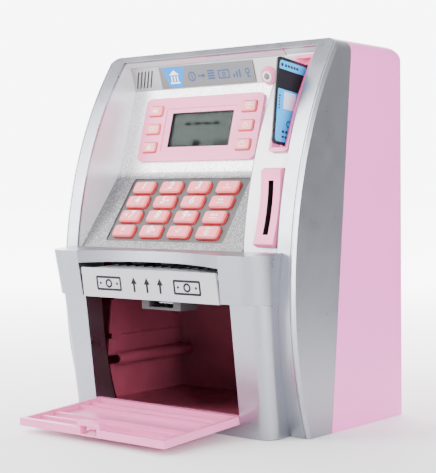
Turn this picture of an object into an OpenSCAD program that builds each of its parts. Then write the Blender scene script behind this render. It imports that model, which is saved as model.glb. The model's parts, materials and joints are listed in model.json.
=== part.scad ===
// Toy cash-machine savings bank: a money box with a keypad, display, card slot, coin slot, motor bill feed
// and a drop-down vault door. X is to the right as seen from the front, the front faces -Y, +Z is up.
// The origin is on the base plane, midway between the sides.

/* [Body] */
// Width of the casing
body_w = 195; // [192:1:197]
// Height of the casing
body_h = 246.4; // [245:0.2:247.4]
// Wall of the moulded shells
wall = 2.4; // [2:0.1:2.6]
// Radius of the curved front, seen from the side
front_r = 266; // [264:1:268]
// Height of the front's foremost point
front_z = 92; // [91:1:93]
// Depth from the origin to the foremost point
front_depth = 70; // [69.5:0.5:70.5]
// Depth from the origin to the back at the base
rear_depth = 56; // [55:1:58]
// Radius of the top corners, seen from the front
corner_r = 9; // [7:1:11]

/* [Vault door] */
// Half width of the vault opening
opening_half = 61; // [60.8:0.1:61.4]
// Length of the door from its hinge axis
door_l = 72; // [71:0.1:72.1]
// Slope of the open door below the horizontal
door_tilt = 3.3; // [2:0.1:3.5]
// Radius of a hinge pin
hinge_pin_r = 1.2; // [1:0.1:1.3]

/* [Keypad] */
// Width of a key
key_w = 18; // [17:0.1:20]
// Height of a key along the panel
key_h = 9.5; // [9:0.1:10]
// Distance between keys across the panel
key_pitch_x = 24.4; // [24:0.1:24.6]
// Distance between keys down the panel
key_pitch_y = 12; // [11.8:0.1:12.2]
// Height of a key above the panel
key_proud = 2.1; // [1.6:0.1:2.4]

/* [Display] */
// Width of a function button
button_w = 12.6; // [11:0.1:13]
// Height of a function button
button_h = 7.7; // [7:0.1:8]
// Height of the display bezel above the panel
bezel_t = 2; // [1.6:0.1:2.4]

/* [Coin slot] */
// Width of the coin slot
coin_slot_w = 3.8; // [3.4:0.1:3.9]
// Length of the coin slot
coin_slot_l = 33; // [30:0.5:34]

/* [Card] */
// Length of the bank card
card_l = 85.6; // [85:0.1:86]
// Width of the bank card
card_w = 54; // [53:0.1:54.2]
// Slope of the card slot below the horizontal
card_tilt = 6.5; // [6:0.5:7]

/* [Bill feed] */
// Radius of the driven rubber rollers
feed_r = 6; // [5.6:0.1:6.1]
// Radius of the pinch rollers
pinch_r = 4; // [3.6:0.1:4.1]
// Gear module of the bill feed
gear_m = 0.8; // [0.79:0.01:0.8]

/* [Hidden] */

silver = "#c9cbd4";
glitter = "#b4b6ba";
pastel_pink = "#f0c3d8";
casing_pink = "#e5b9d9";
key_pink = "#f7a9ad";

big = 200;           // half size of cutting blocks
seat = 0.05;         // gap left between curved faces that meet
round_fn = 240;      // facets of the large arcs
small_fn = 48;       // facets of the small arcs

half_w = body_w / 2;
arc_y = front_r - front_depth;      // centre of the curved front
rear_top = rear_depth - 3;          // the back leans forward a little towards the top
rear_corner_r = 10;
bevel = 1.8;                        // bevel along the front's outer edges
seam_base = -29;                    // seam between the front and rear shells, at the base
seam_top = -7;                      // and at the top

// Recess: corners of the panel's side profile, as [y, z]
rim_z = 238.4;
lip_rise = 3.8;                     // the recess opens upwards by this much at its front edge
ledge_z = 112.7;
header_top = [-17.7, rim_z];
header_foot = [-12.4, 222.1];
keypad_top = [-28.8, 164];
keypad_foot = [-65.5, ledge_z];
header_lean = -18;                  // the header leans forward at its top
display_lean = 15.8;
keypad_lean = 35.6;
panel_t = 2.6;
strip_x = 55;                       // left edge of the slot strip
strip_sink = 5;                     // depth of the slot strip behind the front

// Keypad: first key centre, measured across and down the keypad plane
key_x0 = -51.2;
key_s0 = 13.5;
key_r = 2.3;
recess_t = 0.9;
membrane_depth = 5.9;               // depth of the membrane's base behind the panel face

// Display: bezel centre and button places on the display plane
bezel_x = -15;
bezel_s = 30;
lcd_x = -14.1;
lcd_s = 30.6;
lcd_w = 53.8;
lcd_h = 24.7;
window_z = 0.6;                     // front of the clear window, above the panel face
button_x = [-56, 25.7];
button_s = [16.6, 29.8, 43];

// Slots in the right-hand strip
slot_x = 73.6;
slot_block_w = 14.6;
card_slot_z = [174.8, 237];
coin_slot_z = [116, 166];
coin_mid_z = 141;
coin_x = 74;

// Card: middle of its free edge
card_x = 74;
card_edge = [-57.2, 206.8];
card_t = 0.8;

// Vault door: hinge axis and the door's own thickness
hinge = [-72.8, 10.4];
door_half = 60.4;
door_t = 4.9;
rim_w = 2.6;
tab_half = 9.4;
tab_rise = 6.1;

// Ledge and surround
ledge_foot_z = 82.5;
ledge_top_z = 116;                  // height that the ledge's leaning sides are drawn up to
ledge_front = [-90.5, -96.1];       // front face at the foot and at the drawn top
ledge_half = [86.4, 88.6];          // half width at the same two heights
ledge_r = 14;                       // radius of the ledge's upright corners
tray_half = 57.3;
bay_draft = 1.3;                    // the tray bay widens by this much from foot to top
lip_y = -84;                        // lip over the bill slot: its face at the middle
lip_foot_z = 105.6;                 // height of its lower edge at the middle
lip_bow_r = 176;
lip_arch_r = 1083;
surround_top = [-85.3, 82.3];
surround_foot = [-74, 0];

// Bill feed: axes as [y, z]
feed_axis = [-62, 95.6];
pinch_axis = [-62, 106];
motor_axis = [-38, 92];
gear_x = 56.5;
gear_t = 3;
roller_teeth = 24;
idler_teeth = 20;
pinion_teeth = 10;
frame_half = 52;
shaft_r = 1.5;
running = 0.06;      // radial clearance of a running fit

// Screws: posts as [x, z]
posts = [[-88.5, 31], [88.5, 31], [-90, 113], [90, 113], [-90, 228], [90, 228]];
screw_r = 1.3;

// ---------- helpers ----------

// Extrudes a (y, z) outline from x0 to x1
module along_x(x0, x1) {
    translate([x0, 0, 0]) rotate([90, 0, 90]) linear_extrude(x1 - x0) children();
}

// Extrudes an (x, z) outline from y0 to y1
module along_y(y0, y1) {
    translate([0, y1, 0]) rotate([90, 0, 0]) linear_extrude(y1 - y0) children();
}

// A round bar along X at p = [y, z]
module rod_x(p, x0, x1, r) {
    translate([x0, p[0], p[1]]) rotate([90, 0, 90]) cylinder(r = r, h = x1 - x0, $fn = small_fn);
}

// A round bar along Y at p = [x, z]
module rod_y(p, y0, y1, r) {
    translate([p[0], y1, p[1]]) rotate([90, 0, 0]) cylinder(r = r, h = y1 - y0, $fn = small_fn);
}

// A box given by its low and high corners
module block(low, high) {
    translate(low) cube(high - low);
}

// Rounded rectangle, centred
module round_rect(w, h, r) {
    square([w - 2 * r, h], center = true);
    square([w, h - 2 * r], center = true);
    for (sx = [-1, 1], sy = [-1, 1])
        translate([sx * (w / 2 - r), sy * (h / 2 - r)]) circle(r = r, $fn = small_fn);
}

// Places children on a panel plane: x across, y up the slope, z out of the panel
module on_plane(top, lean) {
    translate([0, top[0], top[1]]) rotate([90 - lean, 0, 0]) children();
}

module on_header() { on_plane(header_top, header_lean) children(); }
module on_display() { on_plane(header_foot, display_lean) children(); }
module on_keypad() { on_plane(keypad_top, keypad_lean) children(); }

function seam_y(z) = seam_base + (seam_top - seam_base) * z / body_h;

// Region in front of the shells' seam, moved back by d
module before_seam(d) {
    polygon([[-big, -10], [seam_y(-10) + d, -10], [seam_y(260) + d, 260], [-big, 260]]);
}

// Region in front of the panel's profile, moved back by d
module before_panel(d) {
    polygon([[-big, ledge_z - 10], [keypad_foot[0] + d - 7, ledge_z - 10], keypad_foot + [d, 0],
             keypad_top + [d, 0], header_foot + [d, 0], header_top + [d, 0],
             [header_top[0] + d, 250], [-big, 250]]);
}

// Plan of the recess, with its side walls drafted, grown sideways by g
module recess_plan(g) {
    polygon([[-86.1 - g, -90], [-81.6 - g, -10], [81.6 + g, -10], [86.1 + g, -90]]);
}

// Solid of revolution about the front's own axis: children are drawn as [radius, x]
module swept_front() {
    translate([0, arc_y, front_z]) rotate([90, 0, 90]) rotate_extrude($fn = round_fn) children();
}

// Disc of the curved front, sunk by i
module front_disc(i, x0, x1) {
    translate([x0, arc_y, front_z]) rotate([90, 0, 90])
        cylinder(r = front_r - i, h = x1 - x0, $fn = round_fn);
}

// Whole casing as a solid, inset by i
module body_solid(i) {
    intersection() {
        along_x(-half_w + i, half_w - i) {
            polygon([[-big, i], [rear_depth - i, i], [rear_top - i, body_h - rear_corner_r],
                     [rear_top - rear_corner_r, body_h - i], [-big, body_h - i]]);
            translate([rear_top - rear_corner_r, body_h - rear_corner_r])
                circle(r = rear_corner_r - i, $fn = small_fn);
        }
        union() {
            front_disc(i, -half_w + bevel, half_w - bevel);
            for (side = [0, 1]) mirror([side, 0, 0])
                translate([half_w - bevel - seat / 5, arc_y, front_z]) rotate([90, 0, 90])
                    cylinder(r1 = front_r - i, r2 = front_r - i - bevel, h = bevel, $fn = round_fn);
        }
        along_y(-big, big) {
            translate([-half_w + i, -1]) square([body_w - 2 * i, body_h - corner_r + 1]);
            translate([-half_w + corner_r, -1]) square([body_w - 2 * corner_r, body_h - i + 1]);
            for (s = [-1, 1]) translate([s * (half_w - corner_r), body_h - corner_r])
                circle(r = corner_r - i, $fn = small_fn);
        }
    }
}

// ---------- casing ----------

module front_housing() color(silver) difference() {
    union() {
        // Curved outer shell, open at the recess and the vault
        difference() {
            body_solid(0);
            body_solid(wall);
            along_x(-big, big) difference() { translate([-big, -big]) square(3 * big); before_seam(0); }
            intersection() {
                translate([0, 0, ledge_z]) linear_extrude(rim_z - ledge_z) recess_plan(0);
                block([-big, -big, 0], [big, 0, 250]);
            }
            block([-62.5, -90, 8], [62.5, -40, 106]);
        }
        // Side walls, top wall and slot strip of the recess
        intersection() {
            body_solid(seat);
            along_x(-90, 90) before_panel(4.5);
            union() {
                difference() {
                    translate([0, 0, ledge_z - 2]) linear_extrude(rim_z - ledge_z + 4) recess_plan(wall);
                    translate([0, 0, ledge_z - 3]) linear_extrude(rim_z - ledge_z + 6) recess_plan(0);
                }
                block([-86, -90, rim_z], [86, 0, rim_z + wall]);
                block([-86, -40, rim_z], [86, -12, body_h - wall / 2]);
                difference() {
                    block([strip_x, -90, ledge_z - 2], [86, 0, rim_z + 1]);
                    block([strip_x + wall, -90, ledge_z - 3], [90, 0, rim_z + 2]);
                    front_strip(0, 100);
                }
            }
        }
        intersection() {
            difference() {
                front_disc(strip_sink, strip_x, 86);
                front_disc(strip_sink + wall, strip_x - 1, 87);
            }
            translate([0, 0, ledge_z - 2]) linear_extrude(rim_z - ledge_z + 3) recess_plan(0.5);
        }
        // Screw bosses behind the front, up to the seam
        intersection() {
            body_solid(wall / 2);
            for (p = posts) rod_y(p, -75, seam_y(p[1]) - 0.4, 3.2);
        }
        vault_ribs(-45, -30);
    }
    // Seats of the card and coin bezels
    along_y(-80, -5) translate([slot_x, (card_slot_z[0] + card_slot_z[1]) / 2])
        round_rect(slot_block_w - 3, card_slot_z[1] - card_slot_z[0] - 3, 1.5);
    along_y(-80, -5) translate([slot_x, (coin_slot_z[0] + coin_slot_z[1]) / 2])
        round_rect(slot_block_w - 3, coin_slot_z[1] - coin_slot_z[0] - 3, 1.5);
    // Pilot holes for the casing screws
    for (p = posts) rod_y(p, seam_y(p[1]) - 9, seam_y(p[1]), screw_r);
    // The recess flares upwards at its top front edge
    intersection() {
        along_x(-big, big) polygon([[-big, rim_z - 1], [-big, rim_z + lip_rise], [-23.4, rim_z + lip_rise],
                                    [-18.6, rim_z], [-18.6, rim_z - 1]]);
        linear_extrude(300) recess_plan(0);
    }
    // Fine line along each front edge
    for (side = [0, 1]) mirror([side, 0, 0]) swept_front()
        translate([front_r - 0.5, half_w - bevel - 1.3]) square([2, 0.5]);
}

// Everything in front of the slot strip's face between two x places
module front_strip(x0, x1) {
    difference() {
        block([x0, -95, 100], [x1, 5, 245]);
        front_disc(strip_sink, x0 - 1, x1 + 1);
    }
}

// Stiffening ribs along both vault side walls
module vault_ribs(y0, y1) {
    for (side = [0, 1], z = [46, 74]) mirror([side, 0, 0])
        block([half_w - wall - 1.4, y0, z], [half_w - wall + 0.5, y1, z + 1.6]);
}

module rear_casing() color(casing_pink) difference() {
    union() {
        difference() {
            body_solid(0);
            body_solid(wall);
            along_x(-big, big) before_seam(0.4);
        }
        // Lip that sits inside the front housing, joined to the shell behind the seam
        difference() {
            union() {
                body_solid(wall + 0.1);
                difference() { body_solid(wall - 0.2); along_x(-big, big) before_seam(0.4); }
            }
            body_solid(wall + 1.5);
            along_x(-big, big) before_seam(-3);
            along_x(-big, big) difference() { translate([-big, -big]) square(3 * big); before_seam(3); }
            for (p = posts) rod_y(p, -60, seam_y(p[1]) + 0.4, 3.6);
            for (side = [0, 1], z = [46, 74]) mirror([side, 0, 0])
                block([half_w - 6, -50, z - 1], [half_w, -20, z + 3]);
        }
        intersection() {
            body_solid(wall / 2);
            for (p = posts) rod_y(p, seam_y(p[1]) + 0.2, 60, 4.6);
        }
        vault_ribs(-15, rear_top - 1);
        // Posts for the main board
        for (x = [-54, 54], z = [128, 222]) rod_y([x, z], 21.7, rear_top, 3);
    }
    for (p = posts) {
        rod_y(p, seam_y(p[1]) + 8, 60, 3.2);
        rod_y(p, seam_y(p[1]) - 1, 60, screw_r + 0.3);
    }
    // Window of the battery bay
    block([-27, rear_top - 6, 134], [27, 70, 197]);
}

module door_surround() color(silver) difference() {
    union() {
        difference() {
            surround_solid(0, 0);
            surround_solid(wall, 1);
        }
        intersection() {
            surround_solid(0.1, 0);
            union() {
                for (side = [0, 1]) mirror([side, 0, 0])
                    block([opening_half, -95, -1], [opening_half + wall, 0, 90]);
                block([-opening_half - wall, -95, 5.2], [opening_half + wall, 0, 7.6]);
            }
        }
    }
    front_disc(-seat, -big, big);
    block([-opening_half, -95, 7.6], [opening_half, 0, 90]);
    rod_x(hinge, -opening_half - wall - 1, opening_half + wall + 1, hinge_pin_r);
}

// Tapered block of the door surround, inset by i and dropped by d at its base
module surround_solid(i, d) {
    hull() {
        surround_plate(surround_foot, 83.5, i, -d);
        surround_plate(surround_top, 86.2, i, -wall * d);
    }
}

module surround_plate(p, half, i, dz) {
    r = 9 - i;
    translate([0, 0, p[1] + dz]) linear_extrude(seat) {
        for (s = [-1, 1]) translate([s * (half - 9), p[0] + 9]) circle(r = r, $fn = 56);
        translate([-half + i, p[0] + 9]) square([2 * (half - i), -40 - p[0] - 9]);
    }
}

module ledge_cover() color(silver) difference() {
    union() {
        difference() {
            ledge_solid(0);
            ledge_solid(wall);
            // The hood is open over the tray
            tray_bay(0);
        }
        // Inner side walls of the tray bay
        intersection() {
            ledge_solid(0.1);
            difference() { tray_bay(2); tray_bay(0); }
            translate([-big, -big, ledge_foot_z + 1.2]) cube(2 * big);
        }
        // Hooded lip over the bill slot, bowed inwards and arched across its width
        intersection() {
            ledge_solid(0.1);
            difference() {
                block([-tray_half - 3, -100, 103], [tray_half + 3, -60, 120]);
                translate([0, lip_y - lip_bow_r, 60]) cylinder(r = lip_bow_r, h = 80, $fn = round_fn);
                block([-tray_half, lip_y + wall, 90], [tray_half, -60, 109]);
                translate([0, 0, lip_foot_z - lip_arch_r]) rotate([90, 0, 0])
                    cylinder(r = lip_arch_r, h = 200, center = true, $fn = 720);
            }
        }
    }
    front_disc(-seat, -big, big);
    // Room for the roller gear
    rod_x(feed_axis, gear_x - 1, gear_x + gear_t + 4, 11);
}

// The bay between the ledge's two blocks, grown sideways by g
module tray_bay(g) {
    along_y(-120, 0)
        polygon([for (c = [[-1, 0], [1, 0], [1, 1], [-1, 1]])
            [c[0] * (tray_half + 0.8 + g + bay_draft * c[1]),
             c[1] > 0 ? ledge_top_z + 4 : ledge_foot_z - 1]]);
}

// Tapered block of the ledge with its top sloping down to the front, inset by i
module ledge_solid(i) {
    difference() {
        hull() {
            ledge_plate(ledge_foot_z - i, 0, i);
            ledge_plate(ledge_top_z, 1, i);
        }
        translate([0, -69, ledge_z + 0.8 - i]) rotate([3.3, 0, 0]) block([-big, -60, 0], [big, 60, 40]);
    }
}

module ledge_plate(z, level, i) {
    half = ledge_half[level];
    front = ledge_front[level];
    translate([0, 0, z]) linear_extrude(seat) {
        for (s = [-1, 1]) translate([s * (half - ledge_r), front + ledge_r])
            circle(r = ledge_r - i, $fn = 56);
        translate([-half + i, front + ledge_r]) square([2 * (half - i), 40]);
        translate([-half + ledge_r, front + i]) square([2 * (half - ledge_r), 40]);
    }
}

// Partition that keeps coins and bills off the boards
module vault_roof() color("#d9a9c6") difference() {
    block([-91.5, -44, 117.5], [66, 52, 119.5]);
    for (p = posts) rod_y(p, -60, 60, 5.2);
}

// ---------- fascia ----------

module fascia_panel() color(glitter) difference() {
    intersection() {
        along_x(-90, strip_x - 0.15) difference() {
            before_panel(panel_t);
            before_panel(0);
            translate([-big, 0]) square([2 * big, ledge_z - 1.4]);
            translate([-big, rim_z - 0.1]) square([2 * big, 40]);
        }
        translate([0, 0, 100]) linear_extrude(150) recess_plan(-0.15);
    }
    on_keypad() {
        // Shallow tray round the keys, then a hole for each key
        translate([-14, -31.2, -recess_t]) linear_extrude(10) round_rect(102, 51.5, 2);
        translate([0, 0, -8]) linear_extrude(16) for (i = [0:15])
            translate([key_x(i), -key_s(i)]) round_rect(key_w + 0.7, key_h + 0.7, key_r + 0.3);
    }
    on_display() translate([bezel_x, -bezel_s, -8]) linear_extrude(16) round_rect(97, 40, 2);
    on_header() {
        translate([0, 0, -8]) linear_extrude(16) for (i = [0:4])
            polygon([for (c = [[0, -3], [1.4, -3], [-3.2, -14.8], [-4.6, -14.8]]) c + [-75.6 + 3.2 * i, 0]]);
        translate([38, -12.5, -8]) cylinder(r = 4.6, h = 16, $fn = small_fn);
    }
}

function key_x(i) = key_x0 + key_pitch_x * (i % 4);
function key_s(i) = key_s0 + key_pitch_y * floor(i / 4);

module sign_plate() color("#a9abb2") on_header()
    translate([-14.15, -8.65, 0]) linear_extrude(0.7) round_rect(82.3, 15.3, 0.6);

module indicator_base() color(pastel_pink) difference() {
    on_header() translate([38, -12.5, 0]) difference() {
        union() {
            cylinder(r = 6.25, h = 0.81, $fn = small_fn);
            translate([0, 0, 0.8]) cylinder(r1 = 6.25, r2 = 4.5, h = 2.2, $fn = small_fn);
            translate([0, 0, -6]) cylinder(r = 4.4, h = 6, $fn = small_fn);
        }
        translate([0, 0, -7]) cylinder(r = 2.05, h = 14, $fn = small_fn);
        translate([0, 0, 2.2]) cylinder(r = 3.75, h = 3, $fn = small_fn);
    }
    // Below the fold the flange sits on the display panel
    on_display() block([25, -10, -10], [50, 0, seat]);
}

module indicator_lens() color("#5a5d62") on_header() translate([38, -12.5, 0]) {
    translate([0, 0, -4]) cylinder(r = 2.0, h = 7, $fn = small_fn);
    translate([0, 0, 1.6]) intersection() {
        sphere(r = 2.4, $fn = small_fn);
        cylinder(r = 2.0, h = 3, $fn = small_fn);
    }
}

module lcd_bezel() color(pastel_pink) on_display() difference() {
    union() {
        translate([bezel_x, -bezel_s, 0]) linear_extrude(bezel_t) round_rect(103, 46, 4.5);
        translate([bezel_x, -bezel_s, -4]) linear_extrude(5) round_rect(96.6, 39.6, 2);
    }
    // Sunk frame round the window
    translate([-15.2, -30.5, bezel_t - 0.5]) linear_extrude(3) round_rect(62.5, 31, 1);
    translate([lcd_x, -lcd_s, -10]) linear_extrude(20) round_rect(lcd_w, lcd_h, 0.5);
    // Seat for the clear window behind the face
    translate([lcd_x, -lcd_s, -10]) linear_extrude(10 + window_z + seat)
        round_rect(lcd_w + 2.4, lcd_h + 2.4, 0.5);
    translate([0, 0, -10]) linear_extrude(20) for (i = [0:5])
        translate([button_x[i % 2], -button_s[floor(i / 2)]])
            round_rect(button_w + 0.6, button_h + 0.6, 1.8);
}

module lcd_window() color([0.8, 0.85, 0.85, 0.4]) on_display()
    translate([lcd_x, -lcd_s, window_z - 0.9]) linear_extrude(0.9) round_rect(lcd_w + 2, lcd_h + 2, 0.5);

module lcd_module() color("#6f7a74") on_display() {
    translate([lcd_x, -lcd_s, -4.6]) linear_extrude(window_z + 3.6)
        round_rect(lcd_w + 1.6, lcd_h + 1.6, 0.5);
    translate([bezel_x, -bezel_s, -9.4]) linear_extrude(1.6) round_rect(94, 38, 1);
    for (s = [-1, 1]) translate([lcd_x + s * (lcd_w / 2 - 2) - 1, -lcd_s - 10, -8])
        cube([2, 20, 3.6]);
}

// One key of the keypad: cap, skirt and a flange behind the panel that keeps it in
module pad_key(x, s, w, h, r, proud, depth, dome) {
    translate([x, -s, 0]) {
        hull() {
            for (sx = [-1, 1], sy = [-1, 1])
                translate([sx * (w / 2 - r), sy * (h / 2 - r), proud - 1.1])
                    cylinder(r1 = r, r2 = r - dome, h = 1.1, $fn = 28);
        }
        translate([0, 0, -depth]) linear_extrude(depth + proud - 1.08) round_rect(w, h, r);
    }
}

module key(i) color(key_pink) on_keypad() {
    pad_key(key_x(i), key_s(i), key_w, key_h, key_r, key_proud, 2.5, 0.9);
    translate([key_x(i), -key_s(i), -3.25]) linear_extrude(0.8) round_rect(key_w + 2.4, key_h + 1.3, key_r);
}

module button(i) color(key_pink) on_display() {
    x = button_x[i % 2];
    s = button_s[floor(i / 2)];
    pad_key(x, s, button_w, button_h, 1.6, bezel_t + 1.5, 4.5, 0.7);
    translate([x, -s, -5.3]) linear_extrude(0.9) round_rect(button_w + 2.4, button_h + 2, 1.6);
}

// Rubber sheet with one dome behind each key
module keypad_membrane() color("#8d9096") on_keypad() {
    translate([-14, -31.2, -membrane_depth - 0.8]) linear_extrude(1) round_rect(104, 52, 3);
    for (i = [0:15]) translate([key_x(i), -key_s(i), -membrane_depth])
        cylinder(r1 = 4, r2 = 2.6, h = 1.1, $fn = 32);
}

module keypad_board() color("#2f6b3c") on_keypad()
    translate([-14, -31.2, -membrane_depth - 2.5]) linear_extrude(1.6) round_rect(106, 52.6, 1);

// ---------- electronics ----------

module main_board() color("#2f6b3c") difference() {
    union() {
        block([-58, 20, 124], [58, 21.6, 226]);
        block([-20, 16.5, 168], [4, 20, 192]);
        block([20, 15, 140], [32, 20, 152]);
        for (x = [-44, -34]) rod_y([x, 150], 10, 20, 4);
    }
    for (x = [-54, 54], z = [128, 222]) rod_y([x, z], 10, 30, 1.6);
}

module speaker() color("#2b2c2f") on_header() translate([-71, -10.2, 0]) {
    translate([0, 0, -5.4]) cylinder(r = 8.5, h = 1.6, $fn = small_fn);
    translate([0, 0, -8.4]) cylinder(r1 = 5.5, r2 = 8, h = 3.01, $fn = small_fn);
    translate([0, 0, -12]) cylinder(r = 5.5, h = 3.61, $fn = small_fn);
}

module battery_box() color("#2e2e31") difference() {
    union() {
        block([-26.6, rear_top - 21, 134.4], [26.6, rear_top - 4, 196.6]);
        block([-30, rear_top - 4.5, 131.5], [30, rear_top - 2.4, 199.5]);
    }
    for (x = [-16, 0, 16]) rod_bay(x);
    block([-25, rear_top - 11, 137], [25, rear_top, 194]);
    block([-26.8, rear_top - 3.9, 134.2], [26.8, rear_top, 196.8]);
}

module rod_bay(x) {
    translate([x, rear_top - 12, 139]) cylinder(r = 7.5, h = 53, $fn = small_fn);
}

// Three AA cells, alternately up and down
module batteries() color("#3c7a52") for (i = [-1, 0, 1])
    translate([16 * i, rear_top - 12, 165.5]) mirror([0, 0, abs(i)]) {
        translate([0, 0, -25]) cylinder(r = 7.1, h = 49, $fn = small_fn);
        translate([0, 0, 24]) cylinder(r = 2.7, h = 1.4, $fn = small_fn);
    }

module battery_cover() color(casing_pink) difference() {
    intersection() {
        block([-26.7, rear_top - 4, 134.3], [26.7, 60, 196.7]);
        difference() { body_solid(0.1); body_solid(wall); }
    }
    // Finger grip of five shallow grooves
    for (i = [0:4]) block([-9, rear_top + 0.1, 186 - 2.4 * i], [9, 70, 187 - 2.4 * i]);
}

// ---------- slots ----------

// Radial placing on the curved front at height z: local x is radial outwards, y is up the curve
module radial(z) {
    a = asin((z - front_z) / front_r);
    translate([0, arc_y, front_z]) rotate([-a, 0, 0]) children();
}

module card_bezel() color(pastel_pink) difference() {
    intersection() {
        swept_front() translate([front_r - 10, 60]) square([7, 30]);
        along_y(-90, 0) translate([slot_x, (card_slot_z[0] + card_slot_z[1]) / 2])
            round_rect(slot_block_w, card_slot_z[1] - card_slot_z[0], 2.4);
    }
    bezel_seat(card_slot_z);
    // Tapered mouth, widest at the face
    intersection() {
        swept_front() polygon([[front_r - 2, 67.2], [front_r - 2, 79.9], [front_r - 7.5, 76.4],
                               [front_r - 7.5, 71.6]]);
        block([60, -90, card_slot_z[0] + 2.6], [90, 0, card_slot_z[1] - 2.6]);
    }
    card_place() along_x(card_x - 0.8, card_x + 0.8) square([140, card_w + 1], center = true);
}

// The part of a bezel behind the strip fits the strip's window, inside a 1.5 mm flange
module bezel_seat(z) {
    difference() {
        block([60, -90, z[0] - 5], [90, 5, z[1] + 5]);
        swept_front() translate([front_r - strip_sink + seat, 55]) square([20, 35]);
        along_y(-95, 10) translate([slot_x, (z[0] + z[1]) / 2])
            round_rect(slot_block_w - 3.2, z[1] - z[0] - 3.2, 1.4);
    }
}

module coin_bezel() color(pastel_pink) difference() {
    intersection() {
        swept_front() translate([front_r - 10, 60]) square([10.3, 30]);
        along_y(-90, 0) translate([slot_x, (coin_slot_z[0] + coin_slot_z[1]) / 2])
            round_rect(slot_block_w, coin_slot_z[1] - coin_slot_z[0], 2.4);
        radial(coin_mid_z) along_x(60, 90)
            polygon([[-front_r - 1, -22], [-front_r + 4, -25], [-front_r + 15, -25],
                     [-front_r + 15, 25], [-front_r + 4, 25], [-front_r - 1, 22]]);
    }
    bezel_seat(coin_slot_z);
    // Dished face
    radial(coin_mid_z) translate([50, -front_r + 3 - 107, 0]) rotate([90, 0, 90])
        cylinder(r = 107, h = 50, $fn = round_fn);
    block([coin_x - coin_slot_w / 2, -90, coin_mid_z - 0.5 - coin_slot_l / 2],
          [coin_x + coin_slot_w / 2, 0, coin_mid_z - 0.5 + coin_slot_l / 2]);
}

// Places children in the card's own axes: x across its thickness, y along its length, z up its width
module card_place() {
    translate([0, card_edge[0], card_edge[1]]) rotate([-card_tilt, 0, 0])
        translate([0, card_l / 2, 0]) children();
}

module bank_card() color("#6db3e6") card_place()
    along_x(card_x - card_t / 2, card_x + card_t / 2) round_rect(card_l, card_w, 3.18);

// Pocket that guides the card, open towards the slot
module card_guide() color("#3a3b40") intersection() {
    card_place() difference() {
        along_x(card_x - 2.2, card_x + 2.2) translate([6, 0]) square([100, card_w + 4], center = true);
        along_x(card_x - 0.75, card_x + 0.75) translate([-5, 0]) square([110, card_w + 0.8], center = true);
        // Windows through both cheeks
        for (y = [2, 26]) along_x(card_x - 5, card_x + 5)
            translate([y, 0]) round_rect(18, card_w - 16, 3);
    }
    front_disc(10.3, 60, 90);
}

// Flat chute behind the coin slot, open below so that coins fall into the vault
module coin_chute() color("#3a3b40") difference() {
    intersection() {
        block([coin_x - 3.6, -70, 84], [coin_x + 3.6, -28, 162]);
        front_disc(10.3, 60, 90);
    }
    block([coin_x - 2, -80, 122], [coin_x + 2, -29.6, 158]);
    block([coin_x - 2, -58, 80], [coin_x + 2, -29.6, 158]);
}

// ---------- bill feed ----------

module bill_tray() color("#f1f1f3") {
    // Front label plate, wider at its foot, leaning forward with the ledge
    intersection() {
        along_x(-big, big) polygon([for (z = [82, 101.2]) [plate_y(z), z],
                                    for (z = [101.2, 82]) [plate_y(z) + 2, z]]);
        along_y(-120, 0)
            polygon([[-tray_half + 0.3, 82], [tray_half - 0.3, 82], [56.4, 101.2], [-56.4, 101.2]]);
    }
    // Ramp that the bills slide up, with guide ribs
    along_x(-50, 50) polygon([[-92, 98.4], [-70, 100], [-70, 101.4], [-92, 100.5]]);
    for (x = [-46 : 7.66 : 46.1])
        along_x(x - 0.7, x + 0.7) polygon([[-91.8, 100], [-70, 101], [-70, 102.2], [-91.8, 101.2]]);
    // Wings that rest against the walls of the bay
    for (side = [0, 1]) mirror([side, 0, 0]) block([48, -91.8, 97], [tray_half + 1.2, -80, 99.4]);
}

// Front of the label plate at height z, in line with the ledge's leaning front
function plate_y(z) = ledge_front[0]
    + (ledge_front[1] - ledge_front[0]) * (z - ledge_foot_z) / (ledge_top_z - ledge_foot_z);

module feeder_frame() color("#2b2c2f") difference() {
    union() {
        for (side = [0, 1]) mirror([side, 0, 0]) {
            along_x(frame_half, frame_half + 2)
                polygon([[-66.2, 83.8], [-24, 83.8], [-24, 112], [-54, 112], [-66.2, 110.8]]);
            // Lug against the inside of the front housing
            block([frame_half, -66.4, 106.8], [68, -64.4, 110.6]);
        }
        block([-frame_half - 1, -26, 84], [frame_half + 1, -24, 112]);
        block([-frame_half - 1, -66, 84], [frame_half + 1, -58, 86.2]);
    }
    for (p = [feed_axis, pinch_axis]) rod_x(p, -60, 60, shaft_r + running);
    rod_x(idler_axis, frame_half - 1, 60, 1.2 + running);
    rod_x(motor_axis, frame_half - 1, 60, 3.1);
}

module feed_shaft() color("#b9bcc2") rod_x(feed_axis, -frame_half - 3, gear_x + gear_t + 0.6, shaft_r);

module feed_rollers() color("#26272a") difference() {
    for (x = [-34, -8, 18]) rod_x(feed_axis, x - 5, x + 5, feed_r);
    rod_x(feed_axis, -60, 60, shaft_r);
}

// Pinch rollers and their shaft are one moulding
module pinch_rollers() color("#d8d9dc") {
    rod_x(pinch_axis, -frame_half - 3, frame_half + 3, shaft_r);
    for (x = [-34, -8, 18]) rod_x(pinch_axis, x - 4, x + 4, pinch_r - seat);
}

// Outline of a spur gear: each tooth is a flat-topped wedge with room for backlash
module gear_outline(teeth) {
    r = gear_m * teeth / 2;
    step = 360 / teeth;
    polygon([for (i = [0:teeth - 1], c = [[-0.33, -1.2], [-0.215, 0], [-0.1, 0.86], [0.1, 0.86], [0.215, 0],
                                          [0.33, -1.2]])
        (r + gear_m * c[1]) * [cos((i + c[0]) * step), sin((i + c[0]) * step)]]);
}

module gear(axis, teeth, turn, x0, t, bore) {
    translate([x0, axis[0], axis[1]]) rotate([90, 0, 90]) difference() {
        rotate(turn) linear_extrude(t) gear_outline(teeth);
        translate([0, 0, -1]) cylinder(r = bore, h = t + 2, $fn = small_fn);
    }
}

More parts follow.
